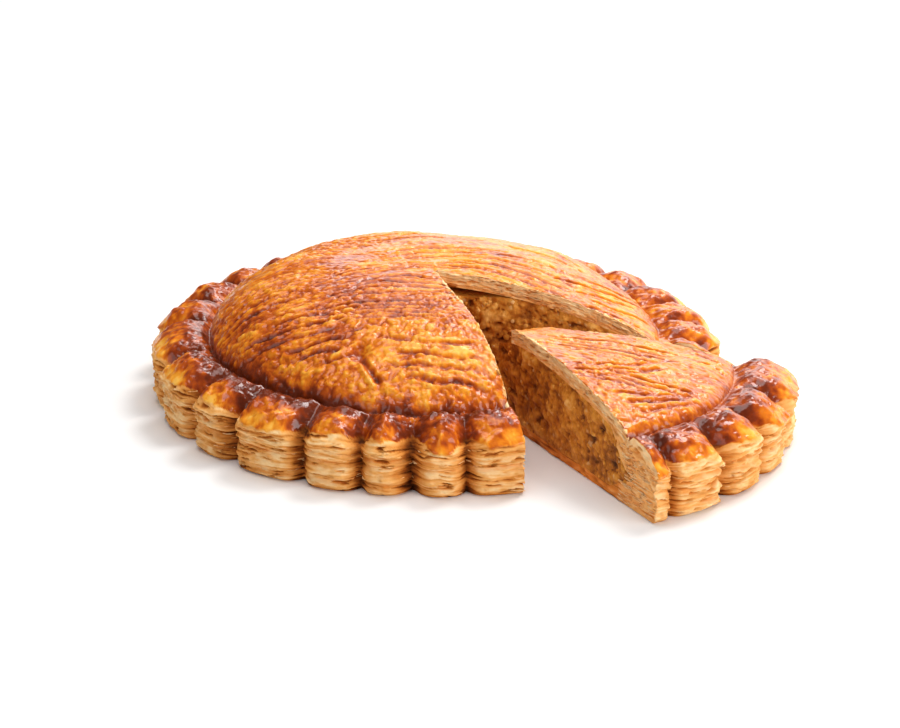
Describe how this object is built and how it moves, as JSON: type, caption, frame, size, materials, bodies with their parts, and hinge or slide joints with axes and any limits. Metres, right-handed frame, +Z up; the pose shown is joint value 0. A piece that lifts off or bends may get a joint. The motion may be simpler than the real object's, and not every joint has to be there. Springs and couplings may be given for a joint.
{
  "type": "galette des rois",
  "caption": "Round puff pastry cake with a domed glazed lid, a scalloped flaky edge and an almond filling, with one slice drawn half out.",
  "frame": {"origin": "on the table, under the middle of the bounding box in plan", "axes": "+Z up, square to the table; +Y away from the viewer; +X to the viewer's right, towards the drawn slice"},
  "size_m": [0.2337, 0.2379, 0.0448],
  "materials": {
    "glazed_crust": null,
    "almond_filling": null,
    "base_crust": null
  },
  "bodies": {
    "root": {"galette_lid": "glazed_crust", "galette_filling": "almond_filling", "galette_base": "base_crust", "slice_lid": "glazed_crust", "slice_filling": "almond_filling", "slice_base": "base_crust"}
  },
  "joints": []
}
